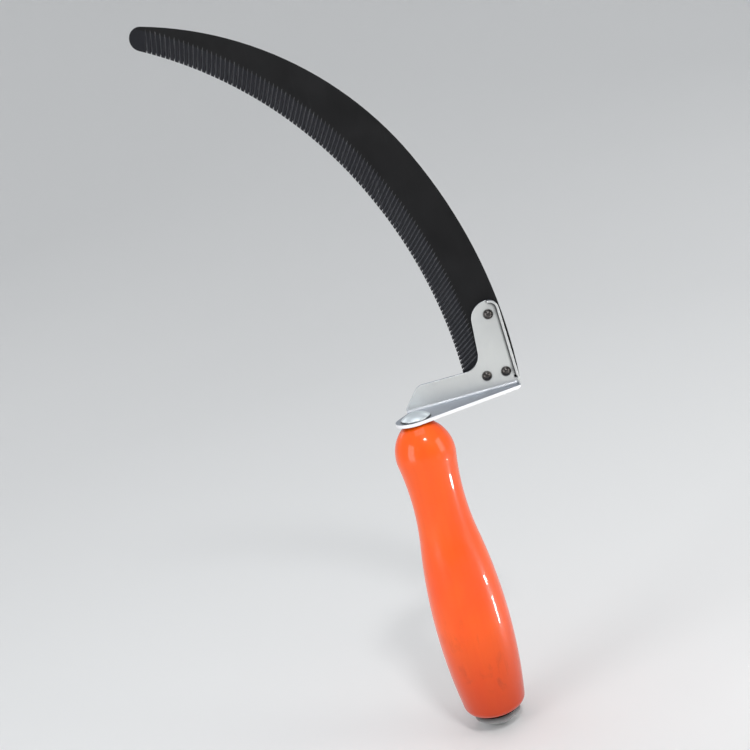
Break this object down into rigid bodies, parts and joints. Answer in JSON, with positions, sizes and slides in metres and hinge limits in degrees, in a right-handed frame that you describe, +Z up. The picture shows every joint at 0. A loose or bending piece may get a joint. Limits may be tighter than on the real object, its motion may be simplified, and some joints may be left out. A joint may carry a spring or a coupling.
{
  "type": "toothed hand sickle",
  "caption": "Hand sickle with a curved, file-cut toothed blade riveted to a pressed steel bracket, and a turned, lacquered wooden handle held on by a through tie rod.",
  "frame": {"origin": "on the handle's axis, on the handle's seat under the bracket's tab", "axes": "+Z up the handle's axis toward the blade, +X from the toothed edge toward the spine at the blade's heel, +Y out of the flat back of the blade"},
  "size_m": [0.1237, 0.0344, 0.3425],
  "materials": {
    "blade_black": "black oxide and thin lacquer, satin",
    "bracket_zinc": "bright zinc plating, satin",
    "rivet_steel": "bare steel, darkened",
    "handle_lacquer": "glossy orange lacquer over turned wood",
    "rod_zinc": "zinc plating, satin",
    "washer_steel": "plain steel, satin"
  },
  "bodies": {
    "root": {"blade": "blade_black", "bracket": "bracket_zinc", "rivet_top": "rivet_steel", "rivet_heel": "rivet_steel", "rivet_back": "rivet_steel", "handle": "handle_lacquer", "tie_rod": "rod_zinc", "butt_washer": "washer_steel"}
  },
  "joints": []
}
